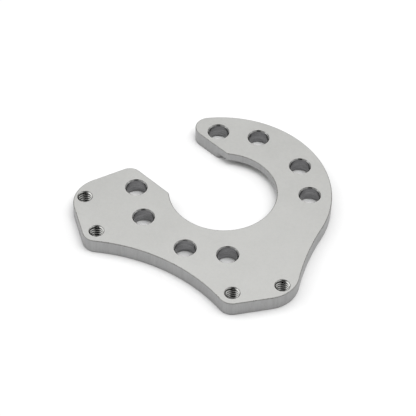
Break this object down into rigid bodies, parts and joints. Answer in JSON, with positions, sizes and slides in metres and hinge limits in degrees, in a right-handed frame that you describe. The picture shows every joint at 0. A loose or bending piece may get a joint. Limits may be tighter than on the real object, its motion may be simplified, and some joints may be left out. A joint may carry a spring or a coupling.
{
  "type": "brake caliper bracket",
  "caption": "Flat C-shaped bracket plate that bolts to an axle flange through clocked holes and carries a brake caliper on tapped ears.",
  "frame": {"origin": "on the axle's line, in the face that lies on the axle flange", "axes": "+Z runs out of the plate's other face, -Y points at the middle of the caliper's two positions, and +X runs across the plate away from the mouth"},
  "size_m": [0.1552, 0.1477, 0.01],
  "materials": {
    "plate": "satin machined, bare metal"
  },
  "bodies": {
    "root": {"caliper_bracket": "plate"}
  },
  "joints": []
}
